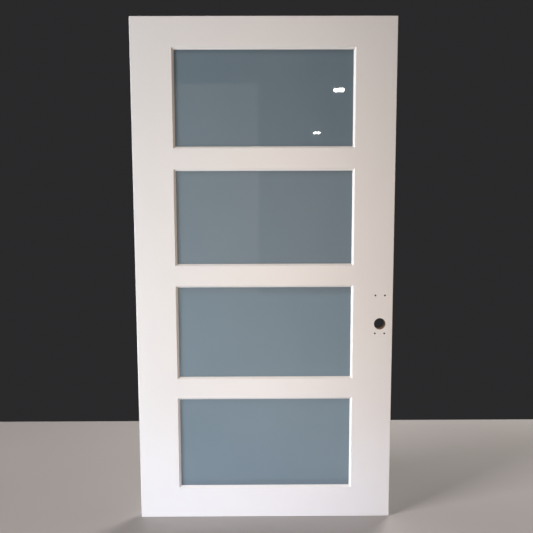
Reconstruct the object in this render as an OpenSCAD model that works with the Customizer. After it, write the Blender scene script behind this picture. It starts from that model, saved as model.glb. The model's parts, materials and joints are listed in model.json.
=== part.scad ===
// Glass door leaf: a dowelled stile and rail frame round four equal lights.
//
// Millimetres. The origin is the middle of the bottom edge, at mid thickness.
// X runs from the hinge edge (-X) to the lock edge (+X), Y from the front face
// (-Y) to the back face (+Y), and Z is up. Lights are counted from the top.
//
// Sections are drawn as [depth, place] points. Depth is measured from the front
// face, and place runs across the member: along X on a stile, along Z on a rail.

/* [Leaf] */
// Width of the leaf
leaf_w = 1200; // [900:10:1450]
// Height of the leaf
leaf_h = 2340; // [1900:10:2850]
// Thickness of the leaf
leaf_t = 40; // [33:0.5:50]
// Arris taken off the outer edges of both faces
arris = 1.5; // [0.5:0.5:3]

/* [Stiles and rails] */
// Face width of a stile, from its outer edge to the bevel
stile_w = 186; // [140:1:230]
// Face height of the top rail
top_rail_h = 133; // [90:1:180]
// Face height of each cross rail
cross_rail_h = 92; // [75:1:140]
// Face height of the bottom rail
bottom_rail_h = 147; // [110:1:240]

/* [Sticking] */
// Width of the bevel round each light, across the face
bevel_w = 9; // [6:0.5:11]
// Depth of the bevel, into the thickness
bevel_d = 10; // [6:0.5:12]
// Square nose below the bevel
nose_t = 1; // [0.5:0.25:2]
// Width of the glass rebate behind the nose
rebate_w = 14; // [11.5:0.5:18]

/* [Glazing] */
// Thickness of the laminated glass
glass_t = 6.38; // [5:0.01:8]
// Gap between the glass and the rebate, which the setting blocks fill
glass_gap = 4; // [3:0.25:5]
// Thickness of the glazing tape
tape_t = 1; // [0.5:0.25:1.5]
// How far the tape stands back from the sight line
tape_setback = 1; // [0.5:0.25:2]
// Length of a setting block
block_l = 60; // [40:5:90]
// Play at each face of a setting block
block_play = 0.2; // [0.1:0.05:0.4]

/* [Beads and pins] */
// Gap at the mitre between two beads, measured along the rebate
mitre_gap = 0.2; // [0.1:0.05:0.5]
// Diameter of a bead pin
pin_d = 1.6; // [1.2:0.1:2.2]
// Length of a bead pin
pin_l = 30; // [24:1:38]
// How far a pin is punched below the bead's edge
pin_sink = 1; // [0.5:0.25:2]
// Distance of the outer pins of a side bead from its ends. Those of a head or sill
// bead are the same distance clear of the dowels.
pin_end = 30; // [20:5:60]
// Pins in each bead along the head or the sill of a light
long_bead_pins = 4; // [3:1:6]
// Pins in each bead along a side of a light
short_bead_pins = 3; // [2:1:5]

/* [Dowels] */
// Diameter of a dowel
dowel_d = 16; // [12:0.5:20]
// Length of a dowel
dowel_l = 140; // [100:5:170]
// Gap round a dowel for the glue
dowel_gap = 0.1; // [0.05:0.05:0.2]
// Gap left at each end of a dowel
dowel_end_gap = 0.8; // [0.5:0.1:2]
// Distance of the outer dowels from the edges of a rail's shoulder
dowel_edge = 22; // [18:1:30]
// Dowels in each end of the top rail and of the cross rails
upper_rail_dowels = 2; // [2:1:2]
// Dowels in each end of the bottom rail
bottom_rail_dowels = 3; // [2:1:4]

/* [Lock holes] */
// Height of the cross bore above the bottom edge
lock_z = 948; // [780:1:1140]
// Distance from the lock edge to the middle of the cross bore
backset = 60; // [50:1:80]
// Diameter of the cross bore
lock_bore_d = 54; // [40:0.5:66]
// Diameter of the latch bore in the lock edge
latch_bore_d = 23; // [18:0.5:25]
// Length of the faceplate seat in the lock edge
faceplate_l = 57; // [46:1:70]
// Width of the faceplate seat
faceplate_w = 25.4; // [25.2:0.1:30]
// Depth of the faceplate seat
faceplate_t = 3; // [2:0.5:4]
// Diameter of the four lock bolt holes
bolt_hole_d = 8; // [6:0.5:10]
// Distance between the two bolt holes of a pair
bolt_pair = 44.5; // [36:0.5:54]
// Height of the upper pair above the cross bore
bolts_above = 134.5; // [110:0.5:165]
// Depth of the lower pair below the cross bore
bolts_below = 45.5; // [37:0.5:60]

/* [Hidden] */
PANES = ["top_pane", "upper_pane", "lower_pane", "bottom_pane"];
RAILS = ["top_rail", "upper_cross_rail", "middle_cross_rail", "lower_cross_rail", "bottom_rail"];
SIDES = ["head", "sill", "hinge_side", "lock_side"];

WHITE_PAINT = [0.90, 0.89, 0.88];
TRANSLUCENT_GLASS = [0.50, 0.56, 0.61, 0.75];
BLACK_FOAM = [0.16, 0.16, 0.17];
GREY_RUBBER = [0.30, 0.32, 0.34];
STEEL = [0.66, 0.67, 0.69];
BEECH = [0.78, 0.62, 0.42];

$fn = 48;
// How far a cutting tool runs past the face it opens
overrun = 1;

half_w = leaf_w / 2;
front_y = -leaf_t / 2;
back_y = leaf_t / 2;
last = len(PANES) - 1;

// Depths below the front face
lip_d = bevel_d + nose_t;
glass_front_d = lip_d + tape_t;
glass_back_d = glass_front_d + glass_t;
bead_front_d = glass_back_d + tape_t;
bead_edge_d = leaf_t - bevel_d;
pin_depth = (bead_front_d + bead_edge_d) / 2;
dowel_depth = (lip_d + leaf_t) / 2;

// How far the wall of the rebate lies behind the face edge of a member
wall_setback = rebate_w - bevel_w;

// Sizes of a light: the opening in the face, the sight line, the pocket between
// the rebate walls, and the glass
opening_w = leaf_w - 2 * stile_w;
opening_h = (leaf_h - top_rail_h - bottom_rail_h - last * cross_rail_h) / len(PANES);
sight_w = opening_w - 2 * bevel_w;
sight_h = opening_h - 2 * bevel_w;
pocket_w = sight_w + 2 * rebate_w;
pocket_h = sight_h + 2 * rebate_w;
glass_w = pocket_w - 2 * glass_gap;
glass_h = pocket_h - 2 * glass_gap;

lock_x = half_w - backset;

// ---- Places ----

// Lower edge of a light's opening in the face
function opening_z(light) =
    leaf_h - top_rail_h - (light + 1) * opening_h - light * cross_rail_h;

// Middle of a light
function light_z(light) = opening_z(light) + opening_h / 2;

// The rail above light n has index n, and the bottom rail has index last + 1
function is_top(rail) = rail == 0;
function is_bottom(rail) = rail > last;
function rail_low(rail) = is_bottom(rail) ? 0 : opening_z(rail) + opening_h;
function rail_high(rail) = is_top(rail) ? leaf_h : opening_z(rail - 1);

// Places in a row, evenly spaced from first to final
function spread(first, final, count) =
    [for (i = [0:count - 1]) first + (final - first) * i / (count - 1)];

// Heights of a rail's dowels, spread over its shoulder
function dowel_heights(rail) =
    let (low = rail_low(rail) + (is_bottom(rail) ? 0 : wall_setback))
    let (high = rail_high(rail) - (is_top(rail) ? 0 : wall_setback))
    let (count = is_bottom(rail) ? bottom_rail_dowels : upper_rail_dowels)
    spread(low + dowel_edge, high - dowel_edge, count);

// A head or sill bead lies across the light, and a side bead stands up it
function lies_across(side) = side == "head" || side == "sill";
function bead_reach(side) = lies_across(side) ? pocket_h / 2 : pocket_w / 2;
function bead_length(side) = lies_across(side) ? pocket_w : pocket_h;
function bead_turn(side) =
    side == "sill" ? 0 : side == "lock_side" ? -90 : side == "head" ? 180 : 90;

// ---- Sections and helpers ----

// Points of a square edge at the given place
function square_edge(place) = [[0, place], [leaf_t, place]];

// Points of an edge with bevel, nose and rebate. The light lies towards side, +1 or -1.
function stuck_edge(place, side) = [
    [0, place],
    [bevel_d, place + side * bevel_w],
    [lip_d, place + side * bevel_w],
    [lip_d, place - side * wall_setback],
    [leaf_t, place - side * wall_setback]
];

function reversed(points) = [for (i = [len(points) - 1:-1:0]) points[i]];

// Section of a member between its low edge and its high edge
module member_section(low_edge, high_edge) {
    translate([front_y, 0])
        polygon(concat(low_edge, reversed(high_edge)));
}

// Section of the whole leaf from low to high, with its arrises
module leaf_section(low, high) {
    polygon([
        [front_y, low + arris],
        [front_y + arris, low],
        [back_y - arris, low],
        [back_y, low + arris],
        [back_y, high - arris],
        [back_y - arris, high],
        [front_y + arris, high],
        [front_y, high - arris]
    ]);
}

// Sweeps a section along X, to equal lengths on both sides of the middle
module along_x(length) {
    translate([-length / 2, 0, 0])
        rotate([90, 0, 90])
            linear_extrude(height = length)
                children();
}

// Sweeps a section up the whole leaf
module along_z() {
    linear_extrude(height = leaf_h)
        mirror([1, -1])
            children();
}

module leaf_envelope() {
    intersection() {
        along_z() leaf_section(-half_w, half_w);
        along_x(leaf_w) leaf_section(0, leaf_h);
    }
}

// Repeats a shape on the other side of the leaf
module both_sides() {
    children();
    mirror([1, 0, 0]) children();
}

module rod_x(centre, diameter, length) {
    translate(centre)
        rotate([0, 90, 0])
            cylinder(d = diameter, h = length, center = true);
}

module rod_y(centre, diameter, length) {
    translate(centre)
        rotate([90, 0, 0])
            cylinder(d = diameter, h = length, center = true);
}

// ---- Dowels, pins and setting blocks ----

// Dowels at both ends of a rail, or the holes for them when bored is true
module rail_end_dowels(rail, bored = false) {
    diameter = dowel_d + (bored ? 2 * dowel_gap : 0);
    length = dowel_l + (bored ? 2 * dowel_end_gap : 0);
    for (z = dowel_heights(rail))
        both_sides()
            rod_x([pocket_w / 2, front_y + dowel_depth, z], diameter, length);
}

module dowels(bored = false) {
    color(BEECH)
        for (rail = [0:last + 1]) rail_end_dowels(rail, bored);
}

// Turns a shape made at the sill of a light to one of its sides
module at_side(light, side) {
    translate([0, 0, light_z(light)])
        rotate([0, bead_turn(side), 0])
            translate([0, 0, -bead_reach(side)])
                children();
}

// Pins through one bead into the member beside it. Their holes are open at the
// bead's edge, where the pins are punched in.
module one_bead_pins(light, side, bored = false) {
    end = bead_length(side) / 2 - pin_end - (lies_across(side) ? dowel_l / 2 : 0);
    count = lies_across(side) ? long_bead_pins : short_bead_pins;
    open = bored ? pin_sink + overrun : 0;
    at_side(light, side)
        for (x = spread(-end, end, count))
            translate([x, front_y + pin_depth, rebate_w - pin_sink - pin_l])
                cylinder(d = pin_d, h = pin_l + open);
}

// Pins round the lights from first to final
module bead_pins(first = 0, final = last, bored = false) {
    color(STEEL)
        for (light = [max(first, 0):min(final, last)], side = SIDES)
            one_bead_pins(light, side, bored);
}

// Two blocks at the quarter points of each pane carry it on the rail below
module setting_blocks() {
    block_t = bead_front_d - lip_d - 2 * block_play;
    color(GREY_RUBBER)
        for (light = [0:last])
            at_side(light, "sill")
                both_sides()
                    translate([glass_w / 4 - block_l / 2, front_y + lip_d + block_play, 0])
                        cube([block_l, block_t, glass_gap]);
}

// ---- Frame ----

// Hinge stile, square on its outer edge and stuck on its inner edge
module stile_blank() {
    along_z()
        member_section(square_edge(-half_w), stuck_edge(stile_w - half_w, 1));
}

// Rail between the rebate walls of the stiles, coped over their bevel and nose
module rail_blank(rail) {
    low = rail_low(rail);
    high = rail_high(rail);
    difference() {
        along_x(pocket_w)
            member_section(
                is_bottom(rail) ? square_edge(low) : stuck_edge(low, -1),
                is_top(rail) ? square_edge(high) : stuck_edge(high, 1)
            );
        both_sides() stile_blank();
    }
}

// Trims a blank to the leaf and takes out its dowel holes and pin holes
module finished(first_light, final_light) {
    color(WHITE_PAINT)
        difference() {
            intersection() {
                children();
                leaf_envelope();
            }
            dowels(bored = true);
            bead_pins(first_light, final_light, bored = true);
        }
}

module hinge_stile() {
    finished(0, last) stile_blank();
}

// Cross bore, latch bore with its faceplate seat, and the lock bolt holes
module lock_holes() {
    through = leaf_t + 2 * overrun;
    latch_reach = backset + overrun;
    rod_y([lock_x, 0, lock_z], lock_bore_d, through);
    rod_x([lock_x + latch_reach / 2, 0, lock_z], latch_bore_d, latch_reach);
    translate([half_w - faceplate_t, -faceplate_w / 2, lock_z - faceplate_l / 2])
        cube([faceplate_t + overrun, faceplate_w, faceplate_l]);
    for (x = [-bolt_pair / 2, bolt_pair / 2], z = [-bolts_below, bolts_above])
        rod_y([lock_x + x, 0, lock_z + z], bolt_hole_d, through);
}

module lock_stile() {
    finished(0, last)
        difference() {
            mirror([1, 0, 0]) stile_blank();
            lock_holes();
        }
}

module rail(index) {
    finished(index - 1, index) rail_blank(index);
}

// ---- Glass, tape and beads ----

// A sheet centred in a light, between two depths
module sheet(light, width, height, from_d, to_d) {
    translate([-width / 2, front_y + from_d, light_z(light) - height / 2])
        cube([width, to_d - from_d, height]);
}

module pane(light) {
    color(TRANSLUCENT_GLASS)
        sheet(light, glass_w, glass_h, glass_front_d, glass_back_d);
}

// A ring of tape on one face of the glass, almost to the sight line
module tape(light, from_d, to_d) {
    inner_w = sight_w + 2 * tape_setback;
    inner_h = sight_h + 2 * tape_setback;
    color(BLACK_FOAM)
        difference() {
            sheet(light, glass_w, glass_h, from_d, to_d);
            sheet(light, inner_w, inner_h, from_d - overrun, to_d + overrun);
        }
}

module front_tape(light) {
    tape(light, lip_d, glass_front_d);
}

module rear_tape(light) {
    tape(light, glass_back_d, bead_front_d);
}

// Section of a bead, from the rebate wall at place 0 towards the light
module bead_section() {
    translate([front_y, 0])
        polygon([
            [bead_front_d, 0],
            [bead_front_d, rebate_w],
            [bead_edge_d, rebate_w],
            [leaf_t, wall_setback],
            [leaf_t, 0]
        ]);
}

// A bead behind the glass, mitred at both ends
module bead(light, side) {
    half = (bead_length(side) - mitre_gap) / 2;
    color(WHITE_PAINT)
        difference() {
            at_side(light, side)
                intersection() {
                    along_x(bead_length(side)) bead_section();
                    translate([0, back_y, 0])
                        rotate([90, 0, 0])
                            linear_extrude(height = leaf_t)
                                polygon([
                                    [-half, 0],
                                    [half, 0],
                                    [half - rebate_w, rebate_w],
                                    [rebate_w - half, rebate_w]
                                ]);
                }
            one_bead_pins(light, side, bored = true);
        }
}

hinge_stile();
lock_stile();
for (i = [0:last + 1])
    rail(i);
for (i = [0:last]) {
    pane(i);
    front_tape(i);
    rear_tape(i);
    for (side = SIDES)
        bead(i, side);
}
setting_blocks();
bead_pins();
dowels();
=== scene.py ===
"""Looks of a glass door leaf.

A white painted stile and rail frame holds four translucent panes. Loose beads hold the panes from
the back, and the lock stile is drilled for an entrance lock.

Lengths are in metres, in the leaf's own axes: X runs from the hinge edge to the lock edge, Y from
the front face to the back face, and Z up from the bottom edge.
"""

import json
import logging
import math
from collections.abc import Callable, Iterable
from dataclasses import dataclass
from enum import Enum

import bmesh
import bpy
from mathutils import Matrix, Vector


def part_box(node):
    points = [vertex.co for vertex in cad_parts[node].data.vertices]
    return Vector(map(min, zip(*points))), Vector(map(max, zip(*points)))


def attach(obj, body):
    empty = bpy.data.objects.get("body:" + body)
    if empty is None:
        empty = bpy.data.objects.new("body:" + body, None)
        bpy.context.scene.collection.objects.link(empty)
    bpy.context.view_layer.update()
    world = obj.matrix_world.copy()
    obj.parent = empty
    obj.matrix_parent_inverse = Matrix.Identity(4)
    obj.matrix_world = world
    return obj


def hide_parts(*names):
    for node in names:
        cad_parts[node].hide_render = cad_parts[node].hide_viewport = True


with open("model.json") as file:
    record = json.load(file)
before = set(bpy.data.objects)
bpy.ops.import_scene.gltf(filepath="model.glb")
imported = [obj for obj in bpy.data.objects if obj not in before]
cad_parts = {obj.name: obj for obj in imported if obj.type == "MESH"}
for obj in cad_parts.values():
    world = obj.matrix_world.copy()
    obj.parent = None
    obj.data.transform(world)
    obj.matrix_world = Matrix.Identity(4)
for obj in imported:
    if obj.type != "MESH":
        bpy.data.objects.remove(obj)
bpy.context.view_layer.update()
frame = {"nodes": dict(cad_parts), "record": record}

LOG = logging.getLogger("glass_door")
Colour = tuple[float, float, float]

MM = 0.001
BODY = "root"
PARALLEL = 0.99
PANES = ("top_pane", "upper_pane", "lower_pane", "bottom_pane")
STILES = ("hinge_stile", "lock_stile")
RAILS = ("top_rail", "upper_cross_rail", "middle_cross_rail", "lower_cross_rail", "bottom_rail")
SIDES = ("head", "sill", "hinge_side", "lock_side")


class Lay(Enum):
    """The way along which a coat of paint was laid off, as the stretch of its marks per axis."""

    UPRIGHT = (1.0, 1.0, 0.06)
    LEVEL = (0.06, 1.0, 1.0)


# ---- Shader helpers ----


class Graph:
    """A node tree, with short ways to add and join its nodes."""

    def __init__(self, tree: bpy.types.NodeTree) -> None:
        """Wraps a tree.

        Args:
            tree: the node tree of a material, a group or a world.
        """
        self.tree = tree

    def add(self, kind: str, settings: dict | None = None, **inputs: object) -> bpy.types.Node:
        """Adds a node, and sets or joins its inputs.

        Args:
            kind: the node's type, such as ShaderNodeMath.
            settings: the node's own properties.
            inputs: a value or an output socket for each input. An underscore in a name stands for a
                space, and a name such as _0 gives the input's index.

        Returns:
            The new node.
        """
        node = self.tree.nodes.new(kind)
        for name, value in (settings or {}).items():
            setattr(node, name, value)
        for name, value in inputs.items():
            key = int(name[1:]) if name[1:].isdigit() else name.replace("_", " ")
            socket = node.inputs[key]
            if isinstance(value, bpy.types.NodeSocket):
                self.tree.links.new(value, socket)
            else:
                socket.default_value = value
        return node

    def maths(self, operation: str, *values: object) -> bpy.types.NodeSocket:
        """Adds a Math node and returns its result."""
        inputs = {f"_{i}": value for i, value in enumerate(values)}
        return self.add("ShaderNodeMath", {"operation": operation}, **inputs).outputs[0]

    def noise(self, vector: object, scale: float, detail: float = 2.0) -> bpy.types.NodeSocket:
        """Adds a Noise Texture node and returns its value, about 0.5 in the middle."""
        return self.add("ShaderNodeTexNoise", None, Vector=vector, Scale=scale, Detail=detail).outputs[0]

    def stretched(self, vector: object, stretch: object) -> bpy.types.NodeSocket:
        """Adds a Vector Math node that scales a place per axis, and returns the new place."""
        settings = {"operation": "MULTIPLY"}
        return self.add("ShaderNodeVectorMath", settings, _0=vector, _1=stretch).outputs[0]

    def remap(
        self, value: object, low: float, high: float, to_low: float = 0.0, to_high: float = 1.0
    ) -> bpy.types.NodeSocket:
        """Adds a Map Range node that clamps, and returns its result."""
        node = self.add("ShaderNodeMapRange", None, Value=value)
        for index, limit in enumerate((low, high, to_low, to_high), start=1):
            node.inputs[index].default_value = limit
        return node.outputs[0]

    def mix(self, factor: object, first: object, second: object) -> bpy.types.NodeSocket:
        """Adds a Mix node for colours and returns its colour."""
        node = self.add("ShaderNodeMix", {"data_type": "RGBA"})
        sockets = (node.inputs[0], node.inputs[6], node.inputs[7])
        for socket, value in zip(sockets, (factor, first, second)):
            if isinstance(value, bpy.types.NodeSocket):
                self.tree.links.new(value, socket)
            else:
                socket.default_value = value
        return node.outputs[2]

    def group(self, tree: bpy.types.NodeTree, **inputs: object) -> bpy.types.Node:
        """Places a node group with its own values and returns the node."""
        return self.add("ShaderNodeGroup", {"node_tree": tree}, **inputs)

    def place(self) -> bpy.types.NodeSocket:
        """Adds a Texture Coordinate node and returns the object's own coordinates."""
        return self.add("ShaderNodeTexCoord").outputs["Object"]

    def bump(self, height: object, distance: float, normal: object | None = None) -> bpy.types.NodeSocket:
        """Adds a Bump node and returns its normal.

        Args:
            height: the output that holds the height, from 0 to 1.
            distance: the real height, in metres.
            normal: the normal of another Bump node to build on, if there is one.

        Returns:
            The bumped normal.
        """
        node = self.add("ShaderNodeBump", None, Height=height, Distance=distance)
        if normal is not None:
            self.tree.links.new(normal, node.inputs["Normal"])
        return node.outputs["Normal"]


def rgba(colour: Colour) -> tuple[float, float, float, float]:
    """Adds a full alpha to a colour."""
    return (*colour, 1.0)


def toned(colour: Colour, factor: float) -> Colour:
    """Makes a colour paler or darker by a factor, no paler than full."""
    return tuple(min(1.0, factor * part) for part in colour)


def new_group(name: str, inputs: dict[str, str], outputs: dict[str, str]) -> tuple[Graph, dict, dict]:
    """Starts a shader node group.

    Args:
        name: the group's name.
        inputs: the socket type of each input.
        outputs: the socket type of each output.

    Returns:
        The group's graph, its input sockets by name, and its output sockets by name.
    """
    tree = bpy.data.node_groups.new(name, "ShaderNodeTree")
    for direction, sockets in (("INPUT", inputs), ("OUTPUT", outputs)):
        for socket, kind in sockets.items():
            tree.interface.new_socket(socket, in_out=direction, socket_type=kind)
    graph = Graph(tree)
    entry = graph.add("NodeGroupInput")
    result = graph.add("NodeGroupOutput")
    given = {key: entry.outputs[key] for key in inputs}
    return graph, given, {key: result.inputs[key] for key in outputs}


class Effects:
    """Shader node groups that more than one finish uses."""

    def __init__(self) -> None:
        """Builds each group once."""
        self.tone_drift = self._tone_drift()
        self.laid_film = self._laid_film()
        self.fibres = self._fibres()
        self.handling = self._handling()

    @staticmethod
    def _tone_drift() -> bpy.types.NodeTree:
        """Slow changes of tone over a surface: a colour that drifts between two others."""
        graph, given, out = new_group(
            "tone_drift",
            {
                "Vector": "NodeSocketVector",
                "Scale": "NodeSocketFloat",
                "First": "NodeSocketColor",
                "Second": "NodeSocketColor",
            },
            {"Color": "NodeSocketColor"},
        )
        value = graph.noise(given["Vector"], given["Scale"], 3.0)
        spread = graph.remap(value, 0.3, 0.7)
        graph.tree.links.new(graph.mix(spread, given["First"], given["Second"]), out["Color"])
        return graph.tree

    @staticmethod
    def _laid_film() -> bpy.types.NodeTree:
        """A dried film of paint: fine peel, and long faint marks the way that it was laid off."""
        graph, given, out = new_group(
            "laid_film",
            {
                "Vector": "NodeSocketVector",
                "Stretch": "NodeSocketVector",
                "Peel Scale": "NodeSocketFloat",
                "Mark Scale": "NodeSocketFloat",
            },
            {"Peel": "NodeSocketFloat", "Marks": "NodeSocketFloat"},
        )
        peel = graph.noise(given["Vector"], given["Peel Scale"], 1.5)
        along = graph.stretched(given["Vector"], given["Stretch"])
        marks = graph.noise(along, given["Mark Scale"], 4.0)
        graph.tree.links.new(peel, out["Peel"])
        graph.tree.links.new(marks, out["Marks"])
        return graph.tree

    @staticmethod
    def _fibres() -> bpy.types.NodeTree:
        """Wood fibres that run along one axis, with the slower bands of the growth rings."""
        graph, given, out = new_group(
            "fibres",
            {
                "Vector": "NodeSocketVector",
                "Stretch": "NodeSocketVector",
                "Ring Scale": "NodeSocketFloat",
                "Fibre Scale": "NodeSocketFloat",
            },
            {"Rings": "NodeSocketFloat", "Fibres": "NodeSocketFloat"},
        )
        along = graph.stretched(given["Vector"], given["Stretch"])
        wave = graph.add(
            "ShaderNodeTexWave",
            {"bands_direction": "X"},
            Vector=along,
            Scale=given["Ring Scale"],
            Distortion=3.0,
            Detail=2.0,
        )
        fibres = graph.noise(along, given["Fibre Scale"], 3.0)
        graph.tree.links.new(wave.outputs["Fac"], out["Rings"])
        graph.tree.links.new(fibres, out["Fibres"])
        return graph.tree

    @staticmethod
    def _handling() -> bpy.types.NodeTree:
        """Faint rub marks and film from handling, as a mask from 0 to 1."""
        graph, given, out = new_group(
            "handling",
            {"Vector": "NodeSocketVector", "Scale": "NodeSocketFloat", "Cover": "NodeSocketFloat"},
            {"Mask": "NodeSocketFloat"},
        )
        cloud = graph.noise(given["Vector"], given["Scale"], 5.0)
        edge = graph.maths("SUBTRACT", 1.0, given["Cover"])
        above = graph.maths("SUBTRACT", cloud, edge)
        steep = graph.maths("MULTIPLY", above, 5.0)
        clamped = graph.add("ShaderNodeClamp", None, Value=steep).outputs[0]
        graph.tree.links.new(clamped, out["Mask"])
        return graph.tree


# ---- Finishes ----


def new_material(name: str) -> tuple[bpy.types.Material, Graph, bpy.types.Node]:
    """Starts a material with one Principled BSDF.

    Args:
        name: the material's name.

    Returns:
        The material, its graph, and its Principled BSDF node.
    """
    material = bpy.data.materials.new(name)
    material.use_nodes = True
    material.node_tree.nodes.clear()
    graph = Graph(material.node_tree)
    shader = graph.add("ShaderNodeBsdfPrincipled")
    graph.add("ShaderNodeOutputMaterial", None, Surface=shader.outputs[0])
    return material, graph, shader


@dataclass(frozen=True)
class SatinPaint:
    """White satin paint over wood, laid off along the length of a member."""

    name: str
    lay: Lay
    white: Colour = (0.800, 0.792, 0.778)
    off_white: Colour = (0.782, 0.772, 0.755)
    drift_scale: float = 2.2
    roughness: float = 0.40
    roughness_spread: float = 0.05
    rub_scale: float = 9.0
    rub_cover: float = 0.38
    peel_scale: float = 360.0
    peel_depth: float = 0.09 * MM
    mark_scale: float = 260.0
    mark_depth: float = 0.09 * MM

    def build(self, effects: Effects) -> bpy.types.Material:
        """Makes the material.

        Args:
            effects: the shared node groups.

        Returns:
            The material.
        """
        material, graph, shader = new_material(self.name)
        place = graph.place()
        drift = graph.group(
            effects.tone_drift,
            Vector=place,
            Scale=self.drift_scale,
            First=rgba(self.white),
            Second=rgba(self.off_white),
        )
        film = graph.group(
            effects.laid_film,
            Vector=place,
            Stretch=self.lay.value,
            Peel_Scale=self.peel_scale,
            Mark_Scale=self.mark_scale,
        )
        rubbed = graph.group(effects.handling, Vector=place, Scale=self.rub_scale, Cover=self.rub_cover)
        low, high = self.roughness - self.roughness_spread, self.roughness + self.roughness_spread
        sheen = graph.remap(rubbed.outputs["Mask"], 0.0, 1.0, high, low)
        links = graph.tree.links
        links.new(drift.outputs["Color"], shader.inputs["Base Color"])
        links.new(sheen, shader.inputs["Roughness"])
        peel = graph.bump(film.outputs["Peel"], self.peel_depth)
        links.new(graph.bump(film.outputs["Marks"], self.mark_depth, peel), shader.inputs["Normal"])
        return material


@dataclass(frozen=True)
class RawTimber:
    """Bare timber in a drilled hole: a softwood core between two denser face skins.

    The small bolt holes get a much darker copy: painted shade that stands for the shade deep inside them.
    """

    name: str = "raw_drilled_timber"
    core: Colour = (0.235, 0.150, 0.090)
    ring: Colour = (0.165, 0.100, 0.056)
    skin: Colour = (0.115, 0.076, 0.050)
    skin_t: float = 5.5 * MM
    half_t: float = 20.0 * MM
    glue_line: float = 0.2 * MM
    stretch: tuple[float, float, float] = (1.0, 0.35, 0.10)
    ring_scale: float = 70.0
    fibre_scale: float = 900.0
    fibre_depth: float = 0.15 * MM
    darkest: float = 0.82
    palest: float = 1.08
    roughness: float = 0.78

    def build(self, effects: Effects) -> bpy.types.Material:
        """Makes the material.

        Args:
            effects: the shared node groups.

        Returns:
            The material.
        """
        material, graph, shader = new_material(self.name)
        place = graph.place()
        grain = graph.group(
            effects.fibres,
            Vector=place,
            Stretch=self.stretch,
            Ring_Scale=self.ring_scale,
            Fibre_Scale=self.fibre_scale,
        )
        core = graph.mix(grain.outputs["Rings"], rgba(self.core), rgba(self.ring))
        across = graph.add("ShaderNodeSeparateXYZ", None, Vector=place).outputs["Y"]
        depth = graph.maths("ABSOLUTE", across)
        edge = self.half_t - self.skin_t
        in_skin = graph.remap(depth, edge - self.glue_line / 2, edge + self.glue_line / 2)
        layered = graph.mix(in_skin, core, rgba(self.skin))
        speckle = graph.remap(grain.outputs["Fibres"], 0.3, 0.7, self.darkest, self.palest)
        flecked = graph.add("ShaderNodeVectorMath", {"operation": "SCALE"}, _0=layered, Scale=speckle)
        links = graph.tree.links
        links.new(flecked.outputs[0], shader.inputs["Base Color"])
        links.new(graph.bump(grain.outputs["Fibres"], self.fibre_depth), shader.inputs["Normal"])
        shader.inputs["Roughness"].default_value = self.roughness
        return material


@dataclass(frozen=True)
class TranslucentGlass:
    """Laminated glass with a translucent interlayer: glossy outside, soft blue-grey inside."""

    name: str = "translucent_blue_grey_glass"
    tint: Colour = (0.187, 0.258, 0.306)
    deep_tint: Colour = (0.177, 0.245, 0.291)
    drift_scale: float = 3.0
    roughness: float = 0.55
    film_scale: float = 7.0
    film_cover: float = 0.36
    film_haze: float = 0.05
    transmission: float = 0.28
    ior: float = 1.52
    coat_ior: float = 1.8
    coat_roughness: float = 0.012

    def build(self, effects: Effects) -> bpy.types.Material:
        """Makes the material.

        Args:
            effects: the shared node groups.

        Returns:
            The material.
        """
        material, graph, shader = new_material(self.name)
        place = graph.place()
        drift = graph.group(
            effects.tone_drift,
            Vector=place,
            Scale=self.drift_scale,
            First=rgba(self.tint),
            Second=rgba(self.deep_tint),
        )
        film = graph.group(effects.handling, Vector=place, Scale=self.film_scale, Cover=self.film_cover)
        hazed = self.roughness + self.film_haze
        spread = graph.remap(film.outputs["Mask"], 0.0, 1.0, self.roughness, hazed)
        links = graph.tree.links
        links.new(drift.outputs["Color"], shader.inputs["Base Color"])
        links.new(spread, shader.inputs["Roughness"])
        shader.inputs["Transmission Weight"].default_value = self.transmission
        shader.inputs["IOR"].default_value = self.ior
        shader.inputs["Coat Weight"].default_value = 1.0
        shader.inputs["Coat Roughness"].default_value = self.coat_roughness
        shader.inputs["Coat IOR"].default_value = self.coat_ior
        return material


@dataclass(frozen=True)
class Elastomer:
    """Dull black or grey rubber or foam with a fine closed-cell skin."""

    name: str
    colour: Colour
    cell_scale: float
    cell_depth: float
    roughness: float = 0.85
    drift_scale: float = 60.0
    paler: float = 1.35

    def build(self, effects: Effects) -> bpy.types.Material:
        """Makes the material.

        Args:
            effects: the shared node groups.

        Returns:
            The material.
        """
        material, graph, shader = new_material(self.name)
        place = graph.place()
        drift = graph.group(
            effects.tone_drift,
            Vector=place,
            Scale=self.drift_scale,
            First=rgba(self.colour),
            Second=rgba(toned(self.colour, self.paler)),
        )
        cells = graph.add("ShaderNodeTexVoronoi", None, Vector=place, Scale=self.cell_scale)
        links = graph.tree.links
        links.new(drift.outputs["Color"], shader.inputs["Base Color"])
        links.new(graph.bump(cells.outputs["Distance"], self.cell_depth), shader.inputs["Normal"])
        shader.inputs["Roughness"].default_value = self.roughness
        return material


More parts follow.
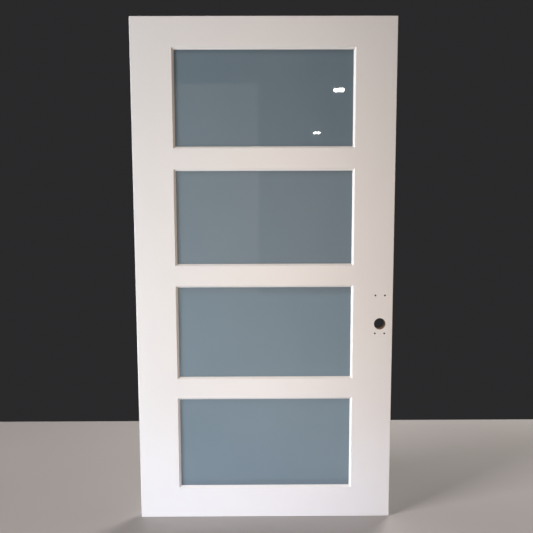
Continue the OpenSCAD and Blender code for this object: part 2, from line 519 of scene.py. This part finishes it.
@dataclass(frozen=True)
class DrawnSteel:
    """Bright drawn wire, with fine marks of the die."""

    name: str = "drawn_pin_steel"
    colour: Colour = (0.62, 0.63, 0.65)
    darker: float = 0.8
    drift_scale: float = 400.0
    roughness: float = 0.32
    roughness_spread: float = 0.15
    die_scale: float = 900.0
    die_cover: float = 0.5

    def build(self, effects: Effects) -> bpy.types.Material:
        """Makes the material.

        Args:
            effects: the shared node groups.

        Returns:
            The material.
        """
        material, graph, shader = new_material(self.name)
        place = graph.place()
        drift = graph.group(
            effects.tone_drift,
            Vector=place,
            Scale=self.drift_scale,
            First=rgba(self.colour),
            Second=rgba(toned(self.colour, self.darker)),
        )
        drawn = graph.group(effects.handling, Vector=place, Scale=self.die_scale, Cover=self.die_cover)
        rougher = self.roughness + self.roughness_spread
        spread = graph.remap(drawn.outputs["Mask"], 0.0, 1.0, self.roughness, rougher)
        links = graph.tree.links
        links.new(drift.outputs["Color"], shader.inputs["Base Color"])
        links.new(spread, shader.inputs["Roughness"])
        shader.inputs["Metallic"].default_value = 1.0
        return material


@dataclass(frozen=True)
class Beech:
    """Raw beech, with its short brown flecks along the grain."""

    name: str = "raw_beech"
    pale: Colour = (0.60, 0.42, 0.25)
    fleck: Colour = (0.40, 0.25, 0.13)
    stretch: tuple[float, float, float] = (0.12, 1.0, 1.0)
    ring_scale: float = 60.0
    fibre_scale: float = 600.0
    fibre_depth: float = 0.05 * MM
    roughness: float = 0.65

    def build(self, effects: Effects) -> bpy.types.Material:
        """Makes the material.

        Args:
            effects: the shared node groups.

        Returns:
            The material.
        """
        material, graph, shader = new_material(self.name)
        grain = graph.group(
            effects.fibres,
            Vector=graph.place(),
            Stretch=self.stretch,
            Ring_Scale=self.ring_scale,
            Fibre_Scale=self.fibre_scale,
        )
        flecks = graph.remap(grain.outputs["Fibres"], 0.52, 0.66)
        links = graph.tree.links
        links.new(graph.mix(flecks, rgba(self.pale), rgba(self.fleck)), shader.inputs["Base Color"])
        links.new(graph.bump(grain.outputs["Fibres"], self.fibre_depth), shader.inputs["Normal"])
        shader.inputs["Roughness"].default_value = self.roughness
        return material


@dataclass(frozen=True)
class PaleFloor:
    """A plain pale studio floor."""

    name: str = "pale_studio_floor"
    colour: Colour = (0.46, 0.435, 0.425)
    darker: float = 0.97
    drift_scale: float = 1.5
    roughness: float = 0.7

    def build(self, effects: Effects) -> bpy.types.Material:
        """Makes the material.

        Args:
            effects: the shared node groups.

        Returns:
            The material.
        """
        material, graph, shader = new_material(self.name)
        drift = graph.group(
            effects.tone_drift,
            Vector=graph.place(),
            Scale=self.drift_scale,
            First=rgba(self.colour),
            Second=rgba(toned(self.colour, self.darker)),
        )
        graph.tree.links.new(drift.outputs["Color"], shader.inputs["Base Color"])
        shader.inputs["Roughness"].default_value = self.roughness
        return material


class Finishes:
    """Every material of the leaf, made once."""

    def __init__(self) -> None:
        """Builds the shared effects, and then each finish."""
        effects = Effects()
        self.stile_paint = SatinPaint("stile_satin_paint", Lay.UPRIGHT).build(effects)
        self.rail_paint = SatinPaint("rail_satin_paint", Lay.LEVEL).build(effects)
        self.timber = RawTimber().build(effects)
        # Bolt-hole walls: near-black timber, painted shade that stands for the shade deep inside the small
        # holes.
        self.bolt_hole_shade = RawTimber(
            name="bolt_hole_painted_shade",
            core=(0.034, 0.024, 0.018),
            ring=(0.026, 0.018, 0.013),
            skin=(0.022, 0.016, 0.012),
        ).build(effects)
        self.glass = TranslucentGlass().build(effects)
        self.tape = Elastomer(
            name="black_foam_tape",
            colour=(0.020, 0.020, 0.021),
            cell_scale=2500.0,
            cell_depth=0.05 * MM,
        ).build(effects)
        self.block = Elastomer(
            name="grey_block_rubber",
            colour=(0.075, 0.080, 0.088),
            cell_scale=900.0,
            cell_depth=0.02 * MM,
            roughness=0.7,
        ).build(effects)
        self.steel = DrawnSteel().build(effects)
        self.beech = Beech().build(effects)
        self.floor = PaleFloor().build(effects)


# ---- Modelling helpers ----

MERGE = 0.002 * MM
FLAT = math.radians(0.5)
ROUND_UP_TO = math.radians(15)
ARRIS_FROM = math.radians(25)
CORNER_FROM = math.radians(35)


def dress(piece: bpy.types.Object, *materials: bpy.types.Material) -> None:
    """Gives a piece its materials, one slot each, and keeps which face uses which slot."""
    slots = piece.data.materials
    for index, material in enumerate(materials):
        if index < len(slots):
            slots[index] = material
        else:
            slots.append(material)


def merged_copy(node: str) -> bmesh.types.BMesh:
    """Copies a node's mesh, with its doubles merged, its flat faces joined and its round walls smooth.

    Args:
        node: the node's name.

    Returns:
        The copy.
    """
    mesh = bmesh.new()
    mesh.from_mesh(frame["nodes"][node].data)
    bmesh.ops.remove_doubles(mesh, verts=mesh.verts, dist=MERGE)
    bmesh.ops.dissolve_limit(mesh, angle_limit=FLAT, verts=mesh.verts, edges=mesh.edges)
    for edge in mesh.edges:
        if edge.is_manifold and FLAT < edge.calc_face_angle() < ROUND_UP_TO:
            for face in edge.link_faces:
                face.smooth = True
    return mesh


def split_across(mesh: bmesh.types.BMesh, axis: Vector, places: Iterable[float]) -> None:
    """Adds edges where planes across an axis cut a mesh.

    Args:
        mesh: the mesh to cut.
        axis: the direction that the planes face.
        places: the place of each plane along the axis.
    """
    for place in places:
        geometry = [*mesh.verts, *mesh.edges, *mesh.faces]
        bmesh.ops.bisect_plane(mesh, geom=geometry, dist=MERGE, plane_co=axis * place, plane_no=axis)


def middle(edge: bmesh.types.BMEdge) -> Vector:
    """Gives the middle of an edge."""
    return (edge.verts[0].co + edge.verts[1].co) / 2


def is_arris(edge: bmesh.types.BMEdge) -> bool:
    """Tells whether two faces meet on an edge in a clear outward corner."""
    return edge.is_manifold and edge.calc_face_angle_signed(0.0) > ARRIS_FROM


def soften(
    mesh: bmesh.types.BMesh, wanted: Callable[[bmesh.types.BMEdge], bool], width: float, segments: int = 3
) -> int:
    """Rounds the arrises that are wanted, and shades the new faces smooth.

    Args:
        mesh: the mesh to change.
        wanted: tells whether an arris is to be rounded.
        width: how far the rounding reaches from the edge.
        segments: the number of faces across the rounding.

    Returns:
        How many edges were rounded.
    """
    edges = [edge for edge in mesh.edges if is_arris(edge) and wanted(edge)]
    made = bmesh.ops.bevel(
        mesh,
        geom=edges,
        offset=width,
        offset_type="OFFSET",
        segments=segments,
        profile=0.5,
        affect="EDGES",
        clamp_overlap=True,
        material=-1,
    )
    for face in made["faces"]:
        face.smooth = True
    return len(edges)


def sharpen_corners(mesh: bmesh.types.BMesh) -> None:
    """Keeps smooth shading from running round a clear corner."""
    for edge in mesh.edges:
        if edge.is_manifold and edge.calc_face_angle() > CORNER_FROM:
            edge.smooth = False


def stand_in(
    mesh: bmesh.types.BMesh, node: str, materials: Iterable[bpy.types.Material]
) -> bpy.types.Object:
    """Turns a mesh into a painted piece that stands for a node.

    Args:
        mesh: the finished mesh, which is freed.
        node: the node that it replaces.
        materials: the piece's materials.

    Returns:
        The piece.
    """
    name = f"{node}_painted"
    data = bpy.data.meshes.new(name)
    mesh.to_mesh(data)
    mesh.free()
    piece = bpy.data.objects.new(name, data)
    bpy.context.scene.collection.objects.link(piece)
    dress(piece, *materials)
    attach(piece, BODY)
    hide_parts(node)
    LOG.info("%s: %d faces", name, len(data.polygons))
    return piece


# ---- Layout ----


@dataclass(frozen=True)
class Light:
    """The heights of one light: the pocket between the rebate walls, and the sight opening."""

    pocket_low: float
    pocket_high: float
    sight_low: float
    sight_high: float

    @classmethod
    def read(cls, pane: str) -> "Light":
        """Reads a light's heights from its sill bead and its head bead.

        Args:
            pane: the name of the light's pane.

        Returns:
            The light.
        """
        sill_low, sill_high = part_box(f"{pane}_sill_bead")
        head_low, head_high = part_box(f"{pane}_head_bead")
        return cls(
            pocket_low=sill_low.z,
            pocket_high=head_high.z,
            sight_low=sill_high.z,
            sight_high=head_low.z,
        )


@dataclass(frozen=True)
class Leaf:
    """Sizes of the whole leaf that its sub-assemblies share."""

    lights: tuple[Light, ...]
    front_y: float
    back_y: float
    half_w: float
    height: float
    bevel_w: float = 9.0 * MM

    @classmethod
    def read(cls) -> "Leaf":
        """Reads the leaf's sizes from the frame.

        Returns:
            The leaf.
        """
        stile_low, stile_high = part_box("lock_stile")
        return cls(
            lights=tuple(Light.read(pane) for pane in PANES),
            front_y=stile_low.y,
            back_y=stile_high.y,
            half_w=stile_high.x,
            height=stile_high.z,
        )

    def in_opening(self, z: float) -> bool:
        """Tells whether a height lies in a light's opening in the front face."""
        return any(a.sight_low - self.bevel_w < z < a.sight_high + self.bevel_w for a in self.lights)

    def in_pocket(self, z: float) -> bool:
        """Tells whether a height lies between the rebate walls of a light."""
        return any(light.pocket_low < z < light.pocket_high for light in self.lights)


# ---- Sub-assemblies ----


class Wall(Enum):
    """What a face of the lock stile is, as the number of its material."""

    PAINTED = 0
    CUT = 1
    # Bolt-hole walls take the near-black timber, painted shade for the shade deep inside the holes.
    BOLT_HOLE = 2


@dataclass
class LockHoles:
    """The holes that the lock stile is drilled with, as the record's mounts give them."""

    bore_x: float
    bore_z: float
    bore_r: float
    latch_z: float
    latch_r: float
    bolts: tuple[tuple[float, float], ...]
    bolt_r: float
    seat_x: float
    seat_half_t: float = 13.0 * MM
    seat_half_h: float = 29.0 * MM
    slack: float = 0.05 * MM

    @classmethod
    def read(cls) -> "LockHoles":
        """Reads the holes from the record.

        Returns:
            The holes.
        """
        mounts = {mount["name"]: mount for mount in frame["record"]["mounts"]}
        bore, latch, bolts = (mounts[name] for name in ("lock_bore", "latch_bore", "lock_bolts"))
        half_x = bolts["dims"]["spacing_x_mm"] * MM / 2
        half_z = bolts["dims"]["spacing_y_mm"] * MM / 2
        x, _, z = bolts["pos_m"]
        return cls(
            bore_x=bore["pos_m"][0],
            bore_z=bore["pos_m"][2],
            bore_r=bore["dims"]["r_mm"] * MM,
            latch_z=latch["pos_m"][2],
            latch_r=latch["dims"]["r_mm"] * MM,
            bolts=tuple((x + i * half_x, z + j * half_z) for i in (-1, 1) for j in (-1, 1)),
            bolt_r=bolts["dims"]["hole_r_mm"] * MM,
            seat_x=mounts["faceplate_seat"]["pos_m"][0],
        )

    def _is_near(self, place: Vector, centre: tuple[float, float], radius: float) -> bool:
        """Tells whether a place lies in a hole from front to back, or on its wall."""
        return math.hypot(place.x - centre[0], place.z - centre[1]) < radius + self.slack

    def is_rim(self, edge: bmesh.types.BMEdge, leaf: Leaf) -> bool:
        """Tells whether an edge is part of a hole's rim in the front or back face."""
        place = middle(edge)
        on_face = min(abs(place.y - leaf.front_y), abs(place.y - leaf.back_y)) < self.slack
        holes = [((self.bore_x, self.bore_z), self.bore_r), *((bolt, self.bolt_r) for bolt in self.bolts)]
        return on_face and any(self._is_near(place, centre, radius) for centre, radius in holes)

    def wall_of(self, face: bmesh.types.BMFace, leaf: Leaf) -> Wall:
        """Tells what a face of the lock stile is.

        Args:
            face: a face of the lock stile.
            leaf: the leaf's sizes.

        Returns:
            Whether the face is painted, or which kind of hole it lies in.
        """
        place = face.calc_center_median()
        if leaf.front_y + self.slack < place.y < leaf.back_y - self.slack:
            if any(self._is_near(place, bolt, self.bolt_r) for bolt in self.bolts):
                return Wall.BOLT_HOLE
            if self._is_near(place, (self.bore_x, self.bore_z), self.bore_r):
                return Wall.CUT
        up = abs(place.z - self.latch_z)
        in_latch = place.x > self.bore_x and math.hypot(place.y, up) < self.latch_r + self.slack
        in_seat = self.seat_x - self.slack < place.x < leaf.half_w - self.slack
        if in_latch or (in_seat and abs(place.y) < self.seat_half_t and up < self.seat_half_h):
            return Wall.CUT
        return Wall.PAINTED


@dataclass
class StileAndRailFrame:
    """Two stiles and five rails, with their arrises softened and painted."""

    leaf: Leaf
    holes: LockHoles
    arris: float = 0.7 * MM
    sticking_arris: float = 0.8 * MM
    rim_arris: float = 0.3 * MM
    shoulder_arris: float = 0.12 * MM
    outline: float = 3.0 * MM

    def build(self, finishes: Finishes) -> list[bpy.types.Object]:
        """Builds and dresses every member.

        Args:
            finishes: the leaf's materials.

        Returns:
            The members.
        """
        stiles = [self._stile(node, finishes) for node in STILES]
        rails = [self._rail(node, finishes) for node in RAILS]
        return stiles + rails

    def _light_planes(self) -> list[float]:
        """Lists the heights at which a light's opening or pocket begins or ends."""
        bevel = self.leaf.bevel_w
        return [
            height
            for light in self.leaf.lights
            for height in (
                light.pocket_low,
                light.sight_low - bevel,
                light.sight_high + bevel,
                light.pocket_high,
            )
        ]

    def _is_outer(self, place: Vector) -> bool:
        """Tells whether a place lies on the outline of the leaf."""
        beside = abs(place.x) > self.leaf.half_w - self.outline
        return beside or not self.outline < place.z < self.leaf.height - self.outline

    def _is_stile_sticking(self, edge: bmesh.types.BMEdge) -> bool:
        """Tells whether a stile's edge borders a light: on the front inside the opening, on the back
        beside the beads."""
        place = middle(edge)
        along = abs((edge.verts[1].co - edge.verts[0].co).normalized().z)
        if along < PARALLEL or self._is_outer(place):
            return False
        on_front = place.y < 0 and self.leaf.in_opening(place.z)
        on_back = place.y > self.leaf.back_y - MM and self.leaf.in_pocket(place.z)
        return on_front or on_back

    def _is_rail_sticking(self, edge: bmesh.types.BMEdge) -> bool:
        """Tells whether a rail's edge runs along a light."""
        place = middle(edge)
        along = abs((edge.verts[1].co - edge.verts[0].co).normalized().x)
        inside = place.y < 0 or place.y > self.leaf.back_y - MM
        return along > PARALLEL and inside and not self._is_outer(place)

    def _is_shoulder(self, edge: bmesh.types.BMEdge) -> bool:
        """Tells whether a rail's edge is the hairline where its face meets a stile."""
        place = middle(edge)
        on_face = min(abs(place.y - self.leaf.front_y), abs(place.y - self.leaf.back_y)) < MERGE
        upright = abs((edge.verts[1].co - edge.verts[0].co).normalized().z) > PARALLEL
        return on_face and upright and not self._is_outer(place)

    def _stile(self, node: str, finishes: Finishes) -> bpy.types.Object:
        """Builds one stile.

        Args:
            node: the stile's node.
            finishes: the leaf's materials.

        Returns:
            The stile.
        """
        mesh = merged_copy(node)
        split_across(mesh, Vector((0, 0, 1)), self._light_planes())
        soften(mesh, lambda edge: self._is_outer(middle(edge)), self.arris, 2)
        soften(mesh, self._is_stile_sticking, self.sticking_arris)
        materials = [finishes.stile_paint]
        if node == "lock_stile":
            soften(mesh, lambda edge: self.holes.is_rim(edge, self.leaf), self.rim_arris, 1)
            materials += [finishes.timber, finishes.bolt_hole_shade]
            for face in mesh.faces:
                face.material_index = self.holes.wall_of(face, self.leaf).value
        sharpen_corners(mesh)
        return stand_in(mesh, node, materials)

    def _rail(self, node: str, finishes: Finishes) -> bpy.types.Object:
        """Builds one rail.

        Args:
            node: the rail's node.
            finishes: the leaf's materials.

        Returns:
            The rail.
        """
        mesh = merged_copy(node)
        soften(mesh, lambda edge: self._is_outer(middle(edge)), self.arris, 2)
        soften(mesh, self._is_rail_sticking, self.sticking_arris)
        soften(mesh, self._is_shoulder, self.shoulder_arris, 1)
        sharpen_corners(mesh)
        return stand_in(mesh, node, [finishes.rail_paint])


@dataclass
class Glazing:
    """Panes, tape and setting blocks."""

    def build(self, finishes: Finishes) -> None:
        """Dresses the pieces, which keep the shape that they come with.

        Args:
            finishes: the leaf's materials.
        """
        for pane in PANES:
            dress(frame["nodes"][pane], finishes.glass)
            for face in ("front", "rear"):
                dress(frame["nodes"][f"{pane}_{face}_tape"], finishes.tape)
            LOG.info("%s: dressed with its tapes", pane)
        dress(frame["nodes"]["setting_blocks"], finishes.block)


@dataclass
class Beads:
    """Four mitred beads behind each pane, and the pins that hold them."""

    leaf: Leaf
    arris: float = 0.6 * MM
    mitre_arris: float = 0.15 * MM
    seen_depth: float = 11.0 * MM
    mitre_from: float = 3.0 * MM
    across: float = 0.9

    def build(self, finishes: Finishes) -> list[bpy.types.Object]:
        """Builds and dresses every bead, and dresses the pins.

        Args:
            finishes: the leaf's materials.

        Returns:
            The beads.
        """
        dress(frame["nodes"]["bead_pins"], finishes.steel)
        return [self._bead(pane, side, finishes) for pane in PANES for side in SIDES]

    def _bead(self, pane: str, side: str, finishes: Finishes) -> bpy.types.Object:
        """Builds one bead.

        Args:
            pane: the pane that it holds.
            side: the side of the pane that it lies on.
            finishes: the leaf's materials.

        Returns:
            The bead.
        """
        node = f"{pane}_{side}_bead"
        upright = side.endswith("_side")
        along = Vector((0, 0, 1)) if upright else Vector((1, 0, 0))
        mesh = merged_copy(node)
        soften(mesh, lambda edge: self._runs(edge, along), self.arris)
        soften(mesh, lambda edge: self._is_mitre(edge, along), self.mitre_arris, 1)
        sharpen_corners(mesh)
        paint = finishes.stile_paint if upright else finishes.rail_paint
        return stand_in(mesh, node, [paint])

    @staticmethod
    def _runs(edge: bmesh.types.BMEdge, along: Vector) -> bool:
        """Tells whether an edge runs the way that the bead lies."""
        way = edge.verts[1].co - edge.verts[0].co
        return way.length > MM and abs(way.normalized().dot(along)) > PARALLEL

    def _is_mitre(self, edge: bmesh.types.BMEdge, along: Vector) -> bool:
        """Tells whether an edge is part of a mitre that shows at the back."""
        way = edge.verts[1].co - edge.verts[0].co
        shows = middle(edge).y > self.leaf.back_y - self.seen_depth
        slants = abs(way.normalized().dot(along)) < self.across
        return shows and way.length > self.mitre_from and slants


@dataclass
class Joinery:
    """The dowels inside the joints of the frame."""

    def build(self, finishes: Finishes) -> None:
        """Dresses the dowels.

        Args:
            finishes: the leaf's materials.
        """
        dress(frame["nodes"]["dowels"], finishes.beech)
        LOG.info("dowels: dressed")


# ---- Studio ----


class Lit(Enum):
    """What a lamp lights."""

    ALL = "all"
    LEAF = "leaf"
    GLASS = "glass"


SUNLIT: Colour = (1.0, 0.945, 0.945)
SKYLIT: Colour = (0.85, 0.915, 1.0)
PANEL: Colour = (1.0, 0.96, 0.94)
WARM: Colour = (1.0, 0.85, 0.70)
AMBER: Colour = (1.0, 0.55, 0.25)
COOL: Colour = (0.60, 0.72, 1.0)
AQUA: Colour = (0.60, 0.86, 1.0)
REAR_WARM: Colour = (1.0, 0.96, 0.92)
REAR_COOL: Colour = (0.92, 0.96, 1.0)
BULB: Colour = (1.0, 0.97, 0.90)


@dataclass(frozen=True)
class SoftBox:
    """A rectangular studio lamp that faces a point."""

    name: str
    place: Vector
    aim: Vector
    width: float
    height: float
    watts: float
    colour: Colour
    seen_in_glass: bool = True
    lit: Lit = Lit.ALL

    def build(self, left_out: dict[Lit, bpy.types.Collection]) -> bpy.types.Object:
        """Makes the lamp.

        Args:
            left_out: what the lamps that don't light everything leave out.

        Returns:
            The lamp, which itself stays out of view.
        """
        data = bpy.data.lights.new(self.name, "AREA")
        data.shape = "RECTANGLE"
        data.size, data.size_y = self.width, self.height
        data.energy = self.watts
        data.color = self.colour
        lamp = bpy.data.objects.new(self.name, data)
        turn = (self.aim - self.place).to_track_quat("-Z", "Y").to_matrix().to_4x4()
        lamp.matrix_world = Matrix.Translation(self.place) @ turn
        lamp.visible_camera = False
        lamp.visible_glossy = self.seen_in_glass
        lamp.visible_transmission = self.seen_in_glass
        if self.lit in left_out:
            lamp.light_linking.receiver_collection = left_out[self.lit]
        bpy.context.scene.collection.objects.link(lamp)
        return lamp


@dataclass
class Studio:
    """Floor, backdrop, lamps and camera."""

    leaf: Leaf
    ambient: float = 0.03
    glow: Colour = (1.0, 0.92, 0.84)
    backdrop: Colour = (0.023, 0.0225, 0.024)
    floor_w: float = 9.0
    floor_front: float = -7.4
    floor_back: float = 1.2
    floor_gap: float = 0.5 * MM
    eye: tuple[float, float, float] = (-0.001, -2.484, 1.454)
    pitch_down: float = 5.42
    yaw_right: float = 0.24
    roll: float = 0.17
    lens: float = 36.0
    sensor: float = 36.0

    def build(self, finishes: Finishes, painted: list[bpy.types.Object]) -> None:
        """Builds the floor, the lamps, the backdrop and the camera.

        Args:
            finishes: the leaf's materials, with the floor's.
            painted: the leaf's painted pieces.
        """
        floor = self._floor(finishes)
        left_out = {
            Lit.LEAF: self._left_out(Lit.LEAF, [floor]),
            Lit.GLASS: self._left_out(Lit.GLASS, [floor, *painted]),
        }
        self._world()
        for lamp in self._lamps():
            lamp.build(left_out)
        self._camera()
        bpy.context.scene.view_settings.view_transform = "Standard"

    @staticmethod
    def _left_out(lit: Lit, pieces: list[bpy.types.Object]) -> bpy.types.Collection:
        """Marks pieces as left out by the lamps of one kind.

        Args:
            lit: what those lamps light.
            pieces: what they leave out.

        Returns:
            The collection that the lamps refer to.
        """
        collection = bpy.data.collections.new(f"left_out_by_{lit.value}_lamps")
        for piece in pieces:
            collection.objects.link(piece)
        for entry in collection.collection_objects:
            entry.light_linking.link_state = "EXCLUDE"
        return collection

    def _floor(self, finishes: Finishes) -> bpy.types.Object:
        """Lays the floor just under the leaf.

        Args:
            finishes: the materials, with the floor's.

        Returns:
            The floor.
        """
        mesh = bmesh.new()
        bmesh.ops.create_grid(mesh, x_segments=1, y_segments=1, size=0.5)
        depth = self.floor_back - self.floor_front
        bmesh.ops.scale(mesh, verts=mesh.verts, vec=(self.floor_w, depth, 1))
        centre = (0, self.floor_front + depth / 2, -self.floor_gap)
        bmesh.ops.translate(mesh, verts=mesh.verts, vec=centre)
        data = bpy.data.meshes.new("floor")
        mesh.to_mesh(data)
        mesh.free()
        floor = bpy.data.objects.new("floor", data)
        bpy.context.scene.collection.objects.link(floor)
        dress(floor, finishes.floor)
        return floor

    def _world(self) -> None:
        """Lights the leaf evenly from all round, in front of a plain dark backdrop."""
        world = bpy.data.worlds.new("studio")
        world.use_nodes = True
        world.node_tree.nodes.clear()
        graph = Graph(world.node_tree)
        glow = graph.add("ShaderNodeBackground", None, Color=rgba(self.glow), Strength=self.ambient)
        dark = graph.add("ShaderNodeBackground", None, Color=rgba(self.backdrop), Strength=1.0)
        path = graph.add("ShaderNodeLightPath")
        rays = (path.outputs["Is Camera Ray"], path.outputs["Is Transmission Ray"])
        straight = graph.maths("MAXIMUM", *rays)
        seen = graph.add("ShaderNodeMixShader", None, _0=straight)
        graph.tree.links.new(glow.outputs[0], seen.inputs[1])
        graph.tree.links.new(dark.outputs[0], seen.inputs[2])
        graph.add("ShaderNodeOutputWorld", None, Surface=seen.outputs[0])
        bpy.context.scene.world = world

    @staticmethod
    def _round(azimuth: float, distance: float, height: float) -> Vector:
        """Gives a place round the leaf: degrees from straight in front, distance and height."""
        turn = math.radians(azimuth)
        return Vector((distance * math.sin(turn), -distance * math.cos(turn), height))

    def _lamps(self) -> list[SoftBox]:
        """Lists every lamp."""
        return [*self._windows(), *self._fronts(), *self._rears(), *self._ceiling_lamps()]

    def _windows(self) -> list[SoftBox]:
        """Lists the two main lamps: windows on the left, one high and one low."""
        aim = Vector((0, 0, self.leaf.height / 2))
        high, low = self._round(-62, 6.5, 7.8), self._round(-65, 3.2, 0.4)
        return [
            SoftBox("high_window", high, aim, 2.4, 1.4, 492.0, SUNLIT),
            SoftBox("low_window", low, aim, 1.2, 0.7, 90.0, SKYLIT, lit=Lit.LEAF),
        ]

    def _fronts(self) -> list[SoftBox]:
        """Lists the lamps in front: two broad panels that the glass mirrors, a glow above the floor
        that only the glass sees, and three weak fills that it doesn't mirror."""
        aim = Vector((0, 0, self.leaf.height / 2))
        panel, left_panel = Vector((0, -7.4, 1.2)), Vector((-2.5, -7.3, 1.9))
        glow, up = Vector((0, -3.6, 0.05)), Vector((0, -3.595, 1))
        strip, foot = Vector((0.05, -0.8, 1.15)), Vector((0, -0.6, 0.05))
        hidden = {"seen_in_glass": False, "lit": Lit.LEAF}
        return [
            SoftBox("near_strip", strip, aim, 0.2, 2.0, 3.25, WARM, **hidden),
            SoftBox("low_front", panel, self._opposite(panel), 7.0, 2.4, 13.0, PANEL),
            SoftBox("left_front", left_panel, self._opposite(left_panel), 4.8, 3.8, 13.0, PANEL),
            SoftBox("floor_glow", glow, up, 3.4, 6.6, 29.0, AQUA, lit=Lit.GLASS),
            SoftBox("low_fill", self._round(20, 3.2, 0.4), aim, 1.2, 0.7, 12.0, AMBER, **hidden),
            SoftBox("foot_fill", foot, self._opposite(foot), 1.4, 0.15, 2.75, COOL, **hidden),
        ]

    def _rears(self) -> list[SoftBox]:
        """Lists the two lamps behind the leaf, which the glass doesn't mirror."""
        aim = Vector((0, 0, self.leaf.height / 2))
        key, fill = Vector((2.6, 3.6, 3.4)), Vector((-3.2, 3.2, 1.6))
        return [
            SoftBox("rear_key", key, aim, 2.4, 2.4, 230.0, REAR_WARM, seen_in_glass=False),
            SoftBox("rear_fill", fill, aim, 1.8, 1.8, 90.0, REAR_COOL, seen_in_glass=False, lit=Lit.LEAF),
        ]

    def _ceiling_lamps(self) -> list[SoftBox]:
        """Lists two small distant lamps, each where the eye sees it mirrored at a spot of the glass."""
        mirrored = [(Vector((0.34, -0.01, 2.02)), 10.8, 0.075), (Vector((0.24, -0.01, 1.83)), 17.8, 0.055)]
        lamps = []
        for number, (spot, beyond, height) in enumerate(mirrored, start=1):
            way = spot - Vector(self.eye)
            place = spot + Vector((way.x, -way.y, way.z)) / abs(way.y) * beyond
            lamps.append(SoftBox(f"ceiling_lamp_{number}", place, spot, 0.23, height, 6.0, BULB))
        return lamps

    @staticmethod
    def _opposite(place: Vector) -> Vector:
        """Gives the point of the leaf's middle plane straight across from a lamp."""
        return Vector((place.x, 0, place.z))

    def _camera(self) -> None:
        """Sets the camera in front of the leaf at eye height, a little turned down."""
        data = bpy.data.cameras.new("eye")
        data.lens = self.lens
        data.sensor_width = self.sensor
        camera = bpy.data.objects.new("eye", data)
        turn = (
            Matrix.Rotation(math.radians(-self.yaw_right), 4, "Z")
            @ Matrix.Rotation(math.radians(-self.pitch_down), 4, "X")
            @ Matrix.Rotation(math.radians(self.roll), 4, "Y")
            @ Matrix.Rotation(math.radians(90), 4, "X")
        )
        camera.matrix_world = Matrix.Translation(Vector(self.eye)) @ turn
        bpy.context.scene.collection.objects.link(camera)
        bpy.context.scene.camera = camera


def main() -> None:
    """Builds the leaf's looks and its studio."""
    logging.basicConfig(level=logging.INFO, format="%(name)s: %(message)s")
    leaf = Leaf.read()
    finishes = Finishes()
    members = StileAndRailFrame(leaf, LockHoles.read()).build(finishes)
    Glazing().build(finishes)
    beads = Beads(leaf).build(finishes)
    Joinery().build(finishes)
    Studio(leaf).build(finishes, members + beads)


if __name__ == "__main__":
    main()
